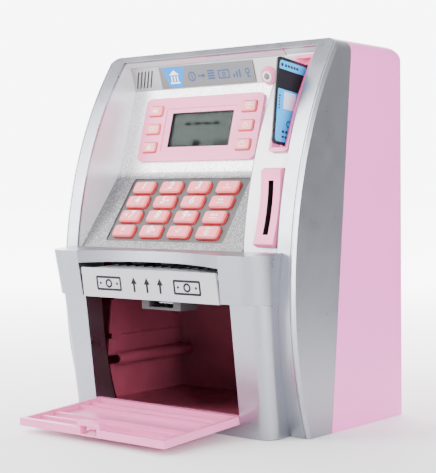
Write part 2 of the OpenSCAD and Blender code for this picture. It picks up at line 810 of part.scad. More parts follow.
// The idler's axis is where both gear pairs are at their centre distance
feed_to_idler = gear_m * (roller_teeth + idler_teeth) / 2;
idler_to_pinion = gear_m * (idler_teeth + pinion_teeth) / 2;
span = norm(motor_axis - feed_axis);
span_angle = atan2(motor_axis[1] - feed_axis[1], motor_axis[0] - feed_axis[0]);
along = (pow(feed_to_idler, 2) - pow(idler_to_pinion, 2) + pow(span, 2)) / (2 * span);
idler_angle = span_angle + acos(along / feed_to_idler);
idler_axis = feed_axis + feed_to_idler * [cos(idler_angle), sin(idler_angle)];
pinion_angle = atan2(motor_axis[1] - idler_axis[1], motor_axis[0] - idler_axis[0]);

// Turns that put a tooth in a gap at each mesh
idler_turn = idler_angle + 180 + 180 / idler_teeth;
pinion_turn = pinion_angle + 180 - (180 - (pinion_angle - idler_turn) * idler_teeth) / pinion_teeth;

module roller_gear() color("#e9e9ec") {
    gear(feed_axis, roller_teeth, idler_angle, gear_x, gear_t, shaft_r);
    difference() {
        rod_x(feed_axis, frame_half + 2.4, gear_x + 0.2, 3.4);
        rod_x(feed_axis, frame_half, gear_x + 2, shaft_r);
    }
}

module idler_gear() color("#e9e9ec") {
    gear(idler_axis, idler_teeth, idler_turn, gear_x, gear_t, 1.2);
    rod_x(idler_axis, frame_half - 1.5, gear_x + gear_t + 0.6, 1.2);
}

module motor_pinion() color("#c9a54a") {
    gear(motor_axis, pinion_teeth, pinion_turn, gear_x, gear_t, 1);
    rod_x(motor_axis, 40, gear_x + gear_t + 0.4, 1);
}

module feed_motor() color("#aeb1b6") difference() {
    union() {
        intersection() {
            rod_x(motor_axis, 31.5, frame_half - 0.1, 10);
            block([30, -60, motor_axis[1] - 7.6], [60, 0, motor_axis[1] + 7.6]);
        }
        rod_x(motor_axis, frame_half - 1, frame_half + 1.6, 3);
    }
    rod_x(motor_axis, 39, 60, 1 + running);
}

// ---------- latch and door ----------

module latch_housing() color("#24252a") difference() {
    union() {
        block([-16.3, -78.6, 75], [16.3, -62, 84]);
        block([-12, -84, 84], [12, -74, 90.4]);
        block([-16.3, -74.1, 83], [16.3, -58.5, 83.95]);
    }
    // Pocket for the door's tab, with a low sill at the front
    block([-10.2, -80, 76.6], [10.2, -74.6, 84]);
    block([-14.6, -74.8, 76.6], [14.6, -63.6, 82.6]);
    block([-6.3, -81.9, 80], [6.3, -79.3, 94]);
}

module latch_bolt() color("#d8dade") {
    block([-6, -81.6, 84.4], [6, -79.6, 93]);
    block([-9, -83, 95.2], [9, -78, 96.6]);
    block([-6, -81.6, 92.9], [6, -79.6, 95.3]);
}

// The door in its own axes: origin on the hinge axis, -y along its length, z towards its inner face
module vault_door() color(pastel_pink) translate([0, hinge[0], hinge[1]]) rotate([door_tilt, 0, 0])
    difference() {
        union() {
            difference() {
                block([-door_half, -door_l, -door_t / 2], [door_half, 0, door_t / 2]);
                block([-door_half + rim_w, -door_l + rim_w, -0.75], [door_half - rim_w, -rim_w - 1, 5]);
                // Smooth sunk field between the second and third ribs
                block([-door_half + rim_w, -door_l * 0.62, -1.2], [door_half - rim_w, -door_l * 0.31, 5]);
            }
            for (f = [0.16, 0.31, 0.62, 0.78])
                block([-door_half + 1, -door_l * f - 0.7, -2], [door_half - 1, -door_l * f + 0.7, 1.3]);
            rotate([90, 0, 90]) translate([0, 0, -door_half])
                cylinder(r = door_t / 2, h = 2 * door_half, $fn = small_fn);
            block([-tab_half, -door_l, -door_t / 2], [tab_half, -door_l + 5.5, tab_rise]);
        }
        // Window that the latch bolt drops into
        block([-6.8, -door_l - 1, -1.4], [6.8, -door_l + 9, 3.6]);
        for (s = [-1, 1]) rotate([90, 0, 90]) translate([0, 0, s > 0 ? door_half - 4 : -door_half - 1])
            cylinder(r = hinge_pin_r + 0.05, h = 5, $fn = small_fn);
    }

module hinge_pins() color("#b9bcc2") for (s = [-1, 1])
    rod_x(hinge, s > 0 ? door_half - 3.4 : -opening_half - wall + 0.2,
          s > 0 ? opening_half + wall - 0.2 : -door_half + 3.4, hinge_pin_r);

module casing_screws() color("#9a9ca2") for (p = posts) {
    rod_y(p, seam_y(p[1]) - 7, seam_y(p[1]) + 8.4, screw_r);
    translate([p[0], seam_y(p[1]) + 8, p[1]]) rotate([-90, 0, 0]) difference() {
        cylinder(r = 2.8, h = 2, $fn = small_fn);
        for (a = [0, 90]) rotate(a) translate([-1.8, -0.4, 0.9]) cube([3.6, 0.8, 2]);
    }
}

// ---------- nodes ----------

front_housing();
rear_casing();
fascia_panel();
ledge_cover();
door_surround();
vault_roof();
sign_plate();
indicator_base();
indicator_lens();
lcd_bezel();
lcd_window();
lcd_module();
keypad_membrane();
keypad_board();
main_board();
speaker();
card_bezel();
card_guide();
bank_card();
coin_bezel();
coin_chute();
bill_tray();
feeder_frame();
feed_shaft();
feed_rollers();
pinch_rollers();
roller_gear();
idler_gear();
motor_pinion();
feed_motor();
latch_housing();
latch_bolt();
vault_door();
hinge_pins();
battery_box();
battery_cover();
batteries();
casing_screws();
for (i = [0:15]) key(i);
for (i = [0:5]) button(i);
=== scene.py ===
"""Looks of the toy cash-machine savings bank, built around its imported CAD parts."""

import json
import math

import bmesh
import bpy
from mathutils import Matrix, Vector


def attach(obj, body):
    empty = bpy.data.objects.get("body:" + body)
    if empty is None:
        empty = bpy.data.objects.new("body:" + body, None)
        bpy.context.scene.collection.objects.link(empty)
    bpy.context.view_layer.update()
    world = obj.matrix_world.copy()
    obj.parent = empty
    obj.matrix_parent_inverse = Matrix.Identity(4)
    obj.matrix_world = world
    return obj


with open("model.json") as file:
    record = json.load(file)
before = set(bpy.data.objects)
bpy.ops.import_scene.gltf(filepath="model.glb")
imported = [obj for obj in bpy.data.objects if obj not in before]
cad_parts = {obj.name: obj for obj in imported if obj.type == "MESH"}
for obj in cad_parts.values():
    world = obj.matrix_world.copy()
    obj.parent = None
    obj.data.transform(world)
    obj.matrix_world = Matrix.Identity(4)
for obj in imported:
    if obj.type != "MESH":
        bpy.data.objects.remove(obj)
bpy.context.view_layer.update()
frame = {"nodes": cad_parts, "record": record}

NODE = frame["nodes"]
ROOT = "bank"
MM = 0.001

# The fascia's three planes, each from its top edge: y and z in mm, and the lean back in degrees
HEADER_TOP, HEADER_LEAN = (-17.7, 238.4), -18
DISPLAY_TOP, DISPLAY_LEAN = (-12.4, 222.1), 15.8
KEYPAD_TOP, KEYPAD_LEAN = (-28.8, 164), 35.6

# Where the casing's colour masks change, in metres, as the CAD source draws its shells
ARC_AXIS = (0.196, 0.092)                            # y and z of the axis of the curved front
FRONT_SKIN, RECESS_SKIN = 0.2648, 0.2643             # radii about it: outside is skin, inside is recess
LEDGE, RECESS_TOP, RECESS_HALF = 0.1112, 0.2443, 0.0905    # the recess's foot, top and half width
JOINT_X, JOINT_HALF = 0.0553, 0.0003                 # dark joint beside the slot strip
SIDE_CORNER, SIDE_SKIN = (0.0885, 0.2374), 0.0078    # x and z of the round top corners, and their skin
BACK_CORNER, BACK_SKIN = (0.046, 0.2364), 0.0088     # y and z of the same corner at the back
BACK_SLOPE = 0.01269                                 # the back comes forward by this much per metre up
BASE_SKIN = 0.0012                                   # the outer face of the base is below this
SLOT_CENTRE, SLOT_HALF = (0.074, 0.1405), (0.00193, 0.01653)    # x and z of the coin slot, and half sizes

# The camera: its place in metres, its turn, downward tilt and roll in degrees, and the way it looks, flat
CAMERA_AT = (0.5206, -0.6675, 0.1481)
CAMERA_TURN, CAMERA_TILT, CAMERA_ROLL = 38.82, 1.918, -0.129
CAMERA_AHEAD = (-0.627, 0.779, 0.0)

FLOOR_Z = -0.0003


def turned(degrees, axis):
    return Matrix.Rotation(math.radians(degrees), 4, axis)


def plane_at(y, z, lean):
    """A plane with x across, y up the slope and z outwards."""
    return Matrix.Translation((0, y * MM, z * MM)) @ turned(90 - lean, "X")


def add_object(name, data):
    made = bpy.data.objects.new(name, data)
    bpy.context.scene.collection.objects.link(made)
    return made


HEADER = plane_at(*HEADER_TOP, HEADER_LEAN)
DISPLAY = plane_at(*DISPLAY_TOP, DISPLAY_LEAN)
KEYPAD = plane_at(*KEYPAD_TOP, KEYPAD_LEAN)

# ---------- materials ----------


class Look:
    """A procedural material: a Principled shader fed by texture nodes in object space."""

    def __init__(self, name, metallic=0.0, specular=0.5):
        self.mat = bpy.data.materials.new(name)
        self.mat.use_nodes = True
        self.tree = self.mat.node_tree
        self.tree.nodes.clear()
        self.out = self.node("ShaderNodeOutputMaterial")
        self.bsdf = self.node("ShaderNodeBsdfPrincipled")
        self.join(self.bsdf.outputs["BSDF"], self.out.inputs["Surface"])
        self.place = self.node("ShaderNodeTexCoord").outputs["Object"]
        self.set("Metallic", metallic)
        self.set("Specular IOR Level", specular)

    def node(self, kind, **props):
        made = self.tree.nodes.new(kind)
        for key, value in props.items():
            setattr(made, key, value)
        return made

    def join(self, a, b):
        self.tree.links.new(a, b)

    def set(self, socket, value):
        self.bsdf.inputs[socket].default_value = value

    def stretched(self, x, y, z):
        """Texture coordinates squeezed along the axes, for brushed or banded patterns."""
        m = self.node("ShaderNodeMapping")
        m.inputs["Scale"].default_value = (x, y, z)
        self.join(self.place, m.inputs["Vector"])
        return m.outputs["Vector"]

    def noise(self, scale, detail=3.0, at=None):
        n = self.node("ShaderNodeTexNoise")
        n.inputs["Scale"].default_value = scale
        n.inputs["Detail"].default_value = detail
        n.inputs["Roughness"].default_value = 0.55
        self.join(at or self.place, n.inputs["Vector"])
        return n.outputs["Fac"]

    def cells(self, scale, output="Color", at=None):
        n = self.node("ShaderNodeTexVoronoi")
        n.inputs["Scale"].default_value = scale
        self.join(at or self.place, n.inputs["Vector"])
        return n.outputs[output]

    def axis(self, name):
        n = self.node("ShaderNodeSeparateXYZ")
        self.join(self.place, n.inputs[0])
        return n.outputs[name]

    def feed(self, value, socket):
        """Links another node's socket, or sets a plain number."""
        if isinstance(value, bpy.types.NodeSocket):
            self.join(value, socket)
        else:
            socket.default_value = value

    def calc(self, how, a, b=0.0):
        m = self.node("ShaderNodeMath", operation=how)
        self.feed(a, m.inputs[0])
        self.feed(b, m.inputs[1])
        return m.outputs[0]

    def both(self, *masks):
        """1 where every mask is 1."""
        made = masks[0]
        for mask in masks[1:]:
            made = self.calc("MULTIPLY", made, mask)
        return made

    def within(self, value, middle, half):
        """1 where the value is less than half away from middle."""
        return self.calc("LESS_THAN", self.calc("ABSOLUTE", self.calc("SUBTRACT", value, middle)), half)

    def length(self, a, b):
        return self.calc("SQRT", self.calc("ADD", self.calc("POWER", a, 2.0), self.calc("POWER", b, 2.0)))

    def dot(self, vector, direction):
        d = self.node("ShaderNodeVectorMath", operation="DOT_PRODUCT")
        d.inputs[1].default_value = direction
        self.join(vector, d.inputs[0])
        return d.outputs["Value"]

    def ramp(self, fac, stops):
        """Colours that blend from stop to stop. A stop is a place and an (r, g, b) colour."""
        r = self.node("ShaderNodeValToRGB")
        band = r.color_ramp
        while len(band.elements) < len(stops):
            band.elements.new(0.5)
        for e, (at, colour) in zip(band.elements, stops):
            e.position = at
            e.color = (*colour, 1)
        self.join(fac, r.inputs["Fac"])
        return r.outputs["Color"]

    def spread(self, fac, low, high, start=0.0, end=1.0):
        m = self.node("ShaderNodeMapRange")
        for key, value in (("From Min", start), ("From Max", end), ("To Min", low), ("To Max", high)):
            m.inputs[key].default_value = value
        self.join(fac, m.inputs["Value"])
        return m.outputs["Result"]

    def mix(self, fac, a, b, how="MIX"):
        m = self.node("ShaderNodeMix", data_type="RGBA", blend_type=how)
        self.feed(fac, m.inputs[0])
        self.feed(a, m.inputs[6])
        self.feed(b, m.inputs[7])
        return m.outputs[2]

    def facing(self, direction):
        """How far the surface faces a fixed direction, from -1 to 1."""
        return self.dot(self.node("ShaderNodeNewGeometry").outputs["True Normal"], direction)

    def colour(self, socket):
        self.join(socket, self.bsdf.inputs["Base Color"])
        return self

    def rough(self, low, high, scale=60.0):
        self.join(self.spread(self.noise(scale), low, high, 0.3, 0.7), self.bsdf.inputs["Roughness"])
        return self

    def bumps(self, *layers, edge=0.25):
        """Layers are (height socket, depth in mm). edge is the softened edge's radius in mm."""
        normal = None
        if edge:
            b = self.node("ShaderNodeBevel", samples=4)
            b.inputs["Radius"].default_value = edge * MM
            normal = b.outputs["Normal"]
        for height, depth in layers:
            b = self.node("ShaderNodeBump")
            b.inputs["Strength"].default_value = 1.0
            b.inputs["Distance"].default_value = depth * MM
            self.join(height, b.inputs["Height"])
            if normal:
                self.join(normal, b.inputs["Normal"])
            normal = b.outputs["Normal"]
        self.join(normal, self.bsdf.inputs["Normal"])
        return self.mat


def tint(c, k):
    return tuple(min(1.0, v * k) for v in c)


def grey(v):
    return v, v, v


def arc_radius(p):
    """Distance from the axis that the casing's curved front is drawn about."""
    y, z = ARC_AXIS
    return p.length(p.calc("SUBTRACT", p.axis("Y"), y), p.calc("SUBTRACT", p.axis("Z"), z))


def shaded_inside(p, front):
    """1 inside the casing's shells, where painted shade goes, and 0 on their outer faces, from the place
    alone.
    """
    x, y, z = p.calc("ABSOLUTE", p.axis("X")), p.axis("Y"), p.axis("Z")

    def past_corner(a, b, corner, limit):
        a = p.calc("MAXIMUM", p.calc("SUBTRACT", a, corner[0]), 0.0)
        b = p.calc("MAXIMUM", p.calc("SUBTRACT", b, corner[1]), 0.0)
        return p.calc("GREATER_THAN", p.length(a, b), limit)

    shown = [past_corner(x, z, SIDE_CORNER, SIDE_SKIN), p.calc("LESS_THAN", z, BASE_SKIN)]
    if front:
        shown += [p.calc("GREATER_THAN", arc_radius(p), FRONT_SKIN), p.calc("GREATER_THAN", z, LEDGE)]
    else:
        upright = p.calc("ADD", y, p.calc("MULTIPLY", z, BACK_SLOPE))
        shown.append(past_corner(upright, z, BACK_CORNER, BACK_SKIN))
    total = shown[0]
    for more in shown[1:]:
        total = p.calc("MAXIMUM", total, more)
    return p.calc("SUBTRACT", 1.0, total)


def slot_walls(p):
    """1 on the walls of the coin slot, which are coloured near-black as painted shade."""
    return p.both(p.within(p.axis("X"), SLOT_CENTRE[0], SLOT_HALF[0]),
                  p.within(p.axis("Z"), SLOT_CENTRE[1], SLOT_HALF[1]))


def plastic(name, c, low=0.3, high=0.42, grain=0.012, vary=0.05, coat=0.0, edge=0.25, shade_zone=None, shine=0.5):
    """Moulded plastic: slow drift of tone, fine spark-eroded grain and slight flow marks.
    A shade pair, when given, is an (inner colour, mask function) pair for the part of it coloured darker as
    painted shade."""
    p = Look(name, specular=shine)
    slow = p.ramp(p.noise(14, 4), [(0.35, tint(c, 1 - vary)), (0.65, tint(c, 1 + vary))])
    speck = p.spread(p.noise(2600, 2), 0.97, 1.03, 0.35, 0.65)
    tone = p.mix(0.6, slow, p.ramp(speck, [(0.94, tint(c, 0.94)), (1.0, tint(c, 1.06))]))
    # Painted shade: the masked part takes a darker colour.
    if shade_zone:
        shade_tone = p.ramp(p.noise(25, 4), [(0.3, tint(shade_zone[0], 0.8)), (0.7, tint(shade_zone[0], 1.2))])
        tone = p.mix(shade_zone[1](p), tone, shade_tone)
    p.colour(tone)
    p.rough(low, high, 90)
    p.set("Coat Weight", coat)
    p.set("Coat Roughness", 0.12)
    return p.bumps((p.noise(1500, 3), grain), (p.noise(45, 2), 0.02), edge=edge)


def silver_paint(name, c, metallic=1.0, low=0.27, high=0.36, front=False):
    """Silver lacquer on plastic: tiny aluminium flakes, faint orange peel and a thin clear coat.
    The front shell's recess has a paler tone, and its inner face is coloured dark maroon as painted shade."""
    p = Look(name, metallic=metallic)
    slow = p.ramp(p.noise(9, 4), [(0.35, tint(c, 0.95)), (0.65, tint(c, 1.04))])
    flake = p.ramp(p.cells(5200), [(0.0, grey(0.9)), (1.0, grey(1.08))])
    tone = p.mix(1.0, slow, flake, "MULTIPLY")
    if front:
        # The recess has a paler, less mirror-like coat, with a dark joint beside the slot strip
        recess = p.both(p.calc("LESS_THAN", arc_radius(p), RECESS_SKIN),
                        p.calc("GREATER_THAN", p.axis("Z"), LEDGE),
                        p.calc("LESS_THAN", p.axis("Z"), RECESS_TOP),
                        p.within(p.axis("X"), 0.0, RECESS_HALF))
        joint = p.within(p.axis("X"), JOINT_X, JOINT_HALF)
        pale = p.ramp(p.noise(30, 3), [(0.35, (0.57, 0.565, 0.605)), (0.65, (0.62, 0.615, 0.655))])
        dark = p.ramp(p.noise(90, 3), [(0.3, (0.05, 0.05, 0.055)), (0.7, (0.08, 0.08, 0.085))])
        tone = p.mix(recess, tone, p.mix(joint, pale, dark))
        p.join(p.spread(recess, metallic, 0.35), p.bsdf.inputs["Metallic"])
        # Painted shade: the inside of the shell is coloured dark maroon, for the shade inside the vault.
        bare = p.ramp(p.noise(25, 4), [(0.3, (0.10, 0.022, 0.033)), (0.7, (0.17, 0.04, 0.057))])
        tone = p.mix(shaded_inside(p, True), tone, bare)
    p.colour(tone)
    p.rough(low, high, 70)
    p.set("Coat Weight", 0.15)
    p.set("Coat Roughness", 0.18)
    return p.bumps((p.cells(4200), 0.0045), (p.noise(260, 2), 0.006), edge=0.35)


def glitter_paint():
    """Coarse glitter lacquer, with painted light on the display field, painted shade on the keypad field and
    a painted light gradient across the header. It is plain, without glitter grains, on the header and on the
    keypad's sunk floor."""
    p = Look("glitter_silver", metallic=0.8)
    # Painted light and shade: the display field is light and the keypad field dark, lit and shaded copies of
    # one glitter.
    lit_and_shaded_fields = p.ramp(p.axis("Z"), [(0.1635, (0.27, 0.27, 0.277)), (0.1642, (0.92, 0.92, 0.93))])
    header = p.calc("GREATER_THAN", p.axis("Z"), DISPLAY_TOP[1] * MM)
    # Painted light: across the header the colour grows lighter towards +x.
    across = p.ramp(p.spread(p.axis("X"), 0.0, 1.0, -0.08, 0.05),
                    [(0.0, (0.42, 0.423, 0.435)), (0.3, (0.46, 0.463, 0.475)), (1.0, (0.66, 0.665, 0.68))])
    # The sunk floor is more than half a millimetre behind the keypad's plane
    y, z = KEYPAD_TOP
    lean = math.radians(KEYPAD_LEAN)
    forward = p.calc("MULTIPLY", p.calc("SUBTRACT", p.axis("Y"), y * MM), -math.cos(lean))
    upward = p.calc("MULTIPLY", p.calc("SUBTRACT", p.axis("Z"), z * MM), math.sin(lean))
    sunk = p.both(p.calc("LESS_THAN", p.calc("ADD", forward, upward), -0.5 * MM),
                  p.calc("LESS_THAN", p.axis("Z"), (z - 2.5) * MM))
    floor = p.ramp(p.noise(40, 3), [(0.3, (0.125, 0.122, 0.124)), (0.7, (0.14, 0.137, 0.139))])
    base = p.mix(sunk, p.mix(header, lit_and_shaded_fields, across), floor)
    plain = p.calc("MAXIMUM", header, sunk)
    grains = p.cells(2100)
    # The glitter grains are the lacquer's own; their brightest stop is a colour above white, a painted glint.
    glitter = p.ramp(grains, [(0.22, grey(0.62)), (0.45, grey(1.02)), (0.7, grey(1.08)),
                              (0.85, (2.2, 2.2, 2.25))])
    flake = p.ramp(p.cells(5200), [(0.0, grey(0.92)), (1.0, grey(1.06))])
    spark = p.mix(plain, glitter, flake)
    drift = p.ramp(p.noise(30, 3), [(0.35, grey(0.94)), (0.65, grey(1.04))])
    p.colour(p.mix(1.0, p.mix(1.0, base, spark, "MULTIPLY"), drift, "MULTIPLY"))
    p.join(p.spread(p.cells(2100, "Distance"), 0.3, 0.6), p.bsdf.inputs["Roughness"])
    rise = p.mix(plain, p.ramp(grains, [(0.0, grey(0)), (1.0, grey(1))]),
                 p.ramp(p.noise(260, 2), [(0.0, grey(0.45)), (1.0, grey(0.55))]))
    return p.bumps((rise, 0.045), edge=0.3)


def metal(name, c, low, high, along=(1, 1, 1)):
    """Bare metal, brushed along the axis that `along` stretches least."""
    p = Look(name, metallic=1.0)
    at = p.stretched(*along)
    p.colour(p.ramp(p.noise(900, 3, at=at), [(0.3, tint(c, 0.85)), (0.7, tint(c, 1.1))]))
    p.join(p.spread(p.noise(700, 3, at=at), low, high, 0.3, 0.7), p.bsdf.inputs["Roughness"])
    return p.bumps((p.noise(1600, 2, at=at), 0.004), edge=0.15)


def rubber(name, c):
    p = Look(name, specular=0.3)
    p.colour(p.ramp(p.noise(350, 4), [(0.3, tint(c, 0.75)), (0.7, tint(c, 1.3))]))
    p.rough(0.62, 0.82, 120)
    return p.bumps((p.noise(1900, 3), 0.03), edge=0.2)


def key_rubber(name, lean):
    """Moulded key: a coral-pink face, and a deeper red on its skirt, chosen by which way the surface faces.
    """
    p = Look(name)
    out = (0, -math.cos(math.radians(lean)), math.sin(math.radians(lean)))
    face = p.ramp(p.noise(120, 3), [(0.35, (0.95, 0.225, 0.27)), (0.65, (1.0, 0.265, 0.31))])
    skirt = p.ramp(p.noise(200, 3), [(0.35, (0.62, 0.035, 0.04)), (0.65, (0.74, 0.055, 0.06))])
    p.colour(p.mix(p.spread(p.facing(out), 0.0, 1.0, 0.25, 0.93), skirt, face))
    p.rough(0.34, 0.46, 150)
    p.set("Subsurface Weight", 0.12)
    p.set("Subsurface Scale", 0.002)
    p.set("Subsurface Radius", (1.0, 0.35, 0.3))
    return p.bumps((p.noise(2400, 3), 0.006), (p.noise(160, 2), 0.012), edge=0.45)


def circuit_board():
    """Solder mask over raised tracks, with bright pads."""
    p = Look("green_board")
    mask, track = (0.012, 0.085, 0.032), (0.03, 0.19, 0.07)
    tracks = p.ramp(p.cells(420, "Distance", p.stretched(1, 1, 0.35)),
                    [(0.30, mask), (0.36, track), (0.52, track), (0.56, mask)])
    pads = p.ramp(p.cells(260, "Distance"), [(0.10, (0.75, 0.62, 0.30)), (0.14, grey(0.0))])
    p.colour(p.mix(1.0, tracks, pads, "ADD"))
    p.rough(0.25, 0.4, 200)
    return p.bumps((tracks, 0.03), edge=0.1)


def display_glass():
    """LCD glass: dark grey-green, with a fine haze and a slow vertical gradient."""
    p = Look("lcd_grey", specular=0.06)
    up = p.ramp(p.axis("Z"), [(0.175, (0.036, 0.041, 0.039)), (0.215, (0.043, 0.047, 0.045))])
    haze = p.ramp(p.noise(180, 3), [(0.3, grey(0.93)), (0.7, grey(1.05))])
    p.colour(p.mix(1.0, up, haze, "MULTIPLY"))
    p.rough(0.22, 0.34, 300)
    return p.bumps((p.noise(2600, 2), 0.003), edge=0.1)


def clear_window():
    """Clear acrylic: mostly see-through, with a soft reflection that grows towards grazing views."""
    p = Look("clear_window", metallic=1.0)
    p.colour(p.ramp(p.noise(60, 2), [(0.3, (0.9, 0.93, 0.93)), (0.7, (0.98, 1.0, 1.0))]))
    p.rough(0.02, 0.06, 200)
    p.bumps((p.noise(90, 2), 0.004), edge=0)
    see = p.node("ShaderNodeBsdfTransparent")
    see.inputs["Color"].default_value = (0.93, 0.96, 0.95, 1)
    rim = p.node("ShaderNodeLayerWeight")
    rim.inputs["Blend"].default_value = 0.2
    both = p.node("ShaderNodeMixShader")
    p.join(p.spread(rim.outputs["Fresnel"], 0.0, 0.09), both.inputs[0])
    p.join(see.outputs[0], both.inputs[1])
    p.join(p.bsdf.outputs[0], both.inputs[2])
    p.join(both.outputs[0], p.out.inputs["Surface"])
    return p.mat


def printed(name, c, low=0.3, high=0.42, vary=0.08, shine=0.12):
    """Printed ink, with a slightly uneven cover."""
    p = Look(name, specular=shine)
    p.colour(p.ramp(p.noise(700, 3), [(0.3, tint(c, 1 - vary)), (0.7, tint(c, 1 + vary))]))
    p.rough(low, high, 400)
    return p.bumps((p.noise(2200, 2), 0.004), edge=0)


def cell_wrap():
    """Battery film: a dark green body with a copper-coloured band at one end, and bare steel terminals."""
    p = Look("cell_wrap")
    film, copper = (0.02, 0.10, 0.05), (0.55, 0.30, 0.12)
    band = p.ramp(p.axis("Z"), [(0.14, (0.5, 0.5, 0.52)), (0.1408, film), (0.172, film), (0.173, copper),
                                (0.1889, copper), (0.1895, (0.6, 0.6, 0.62))])
    scuff = p.ramp(p.noise(300, 3), [(0.3, grey(0.1)), (0.7, grey(0.5))])
    p.colour(p.mix(0.15, band, scuff))
    p.rough(0.2, 0.3, 150)
    p.set("Coat Weight", 0.5)
    return p.bumps((p.noise(500, 2), 0.01), edge=0.2)


SILVER = (0.36, 0.368, 0.41)
PASTEL = (0.88, 0.20, 0.41)
# Painted shade: the coin slot's walls are coloured near-black, for the shade inside the narrow slot.
SLOT_SHADE = ((0.012, 0.008, 0.01), slot_walls)
LOOKS = {
    "silver_paint": silver_paint("silver_paint", SILVER),
    "front_silver": silver_paint("front_silver", SILVER, front=True),
    # Painted shade: the inside of the pink casing is coloured dark maroon, for the shade inside the vault.
    "casing_pink": plastic("casing_pink", (0.85, 0.195, 0.55), 0.28, 0.38, coat=0.1, edge=0.4,
                           shade_zone=((0.34, 0.065, 0.11), lambda p: shaded_inside(p, False))),
    "glitter_silver": glitter_paint(),
    "sign_grey": silver_paint("sign_grey", (0.17, 0.172, 0.182), 0.6, 0.3, 0.4),
    # Painted shade: the door takes a darker copy of the pastel pink, to hold down the top light on its flat
    # face.
    "door_shaded_pink": plastic("door_shaded_pink", (0.74, 0.19, 0.40), 0.3, 0.4, coat=0.1, edge=0.4),
    "pastel_pink": plastic("pastel_pink", PASTEL, 0.32, 0.42, coat=0.1, edge=0.4),
    "slot_shaded_pink": plastic("slot_shaded_pink", PASTEL, 0.32, 0.42, coat=0.1, edge=0.0, shade_zone=SLOT_SHADE),
    "smoked_lens": plastic("smoked_lens", (0.13, 0.14, 0.15), 0.06, 0.14, grain=0.002, coat=0.8),
    "clear_window": clear_window(),
    "lcd_grey": display_glass(),
    "grey_rubber": rubber("grey_rubber", (0.26, 0.26, 0.28)),
    "green_board": circuit_board(),
    "black_plastic": plastic("black_plastic", (0.022, 0.022, 0.026), 0.36, 0.5, 0.02, 0.25, shine=0.25),
    "card_blue": plastic("card_black", (0.012, 0.012, 0.014), 0.2, 0.32, 0.003, 0.3, edge=0.1),
    "dark_plastic": plastic("dark_plastic", (0.065, 0.062, 0.066), 0.32, 0.46, 0.02, 0.2, shine=0.2),
    "white_plastic": plastic("white_plastic", (0.43, 0.44, 0.465), 0.3, 0.42, vary=0.03, shine=0.3),
    "steel": metal("steel", (0.62, 0.63, 0.65), 0.16, 0.32, (1, 6, 6)),
    "motor_steel": metal("motor_steel", (0.5, 0.51, 0.53), 0.22, 0.4, (6, 1, 1)),
    "black_rubber": rubber("black_rubber", (0.02, 0.02, 0.022)),
    "brass": metal("brass", (0.75, 0.53, 0.22), 0.18, 0.3),
    "cell_wrap": cell_wrap(),
    "key_rubber": key_rubber("key_rubber", KEYPAD_LEAN),
    "button_rubber": key_rubber("button_rubber", DISPLAY_LEAN),
}
SPECIAL = {"front_housing": "front_silver", "coin_bezel": "slot_shaded_pink", "vault_door": "door_shaded_pink",
           "latch_housing": "dark_plastic", "pinch_rollers": "dark_plastic"}
WHITE_INK = printed("white_ink", (0.95, 0.93, 0.93))
BLACK_INK = printed("black_ink", (0.016, 0.016, 0.02))
SLATE_INK = printed("slate_ink", (0.05, 0.09, 0.20))
SIGN_BLUE = printed("sign_blue", (0.012, 0.24, 0.68))
CARD_BLUE = printed("card_print", (0.03, 0.40, 0.86), 0.16, 0.26, 0.05, 0.4)
LAVENDER = printed("lavender_ink", (0.66, 0.62, 0.80), 0.2, 0.3)
LCD_INK = printed("lcd_segment", (0.004, 0.005, 0.005), 0.4, 0.5, shine=0.02)
RING_WHITE = plastic("ring_white", (0.9, 0.9, 0.91), 0.2, 0.3, vary=0.02)
GOLD = metal("contact_gold", (0.85, 0.62, 0.25), 0.2, 0.3)

slots = {s["node"]: s["material_slot"] for s in frame["record"]["subparts"]}
for name, obj in NODE.items():
    kind = SPECIAL.get(name, slots[name])
    if slots[name] == "key_pink":
        kind = "key_rubber" if name.startswith("key") else "button_rubber"
    obj.data.materials.clear()
    obj.data.materials.append(LOOKS[kind])

# ---------- pieces ----------

SHARP = math.radians(40)
ROUND_STEPS, CORNER_STEPS, LATHE_STEPS = 28, 6, 56    # sides of a circle, a corner and a turned piece


def piece(name, bm, place, look, body=ROOT, slot=None, soft=0.0, smooth=True):
    """Makes a mesh object from bm, whose points are in mm on the plane `place`."""
    bm.transform(Matrix.Scale(MM, 4))
    bm.transform(place)
    bmesh.ops.recalc_face_normals(bm, faces=bm.faces)
    mesh = bpy.data.meshes.new(name)
    bm.to_mesh(mesh)
    bm.free()
    obj = add_object(name, mesh)
    mesh.materials.append(look)
    if smooth:
        for p in mesh.polygons:
            p.use_smooth = True
        mesh.set_sharp_from_angle(angle=SHARP)
    if soft:
        b = obj.modifiers.new("soft_edges", "BEVEL")
        b.width, b.segments = soft * MM, 2
        b.limit_method, b.angle_limit = "ANGLE", SHARP
    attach(obj, body)
    return obj


def slab(name, outlines, z0, z1, place, look, **kw):
    """Raises outlines from z0 to z1, with flat shading.
    An outline is a list of points, or an (outer, inner) pair for a ring."""
    bm = bmesh.new()
    for shape in outlines:
        rings = shape if isinstance(shape, tuple) else (shape,)
        low = [[bm.verts.new((x, y, z0)) for x, y in r] for r in rings]
        high = [[bm.verts.new((x, y, z1)) for x, y in r] for r in rings]
        count = len(rings[0])
        for a, b in zip(low, high):
            for k in range(count):
                n = (k + 1) % count
                bm.faces.new((a[k], a[n], b[n], b[k]))
        if len(rings) == 1:
            bm.faces.new(low[0])
            bm.faces.new(high[0])
        else:
            for level in (low, high):
                for k in range(count):
                    n = (k + 1) % count
                    bm.faces.new((level[0][k], level[0][n], level[1][n], level[1][k]))
    return piece(name, bm, place, look, smooth=False, **kw)


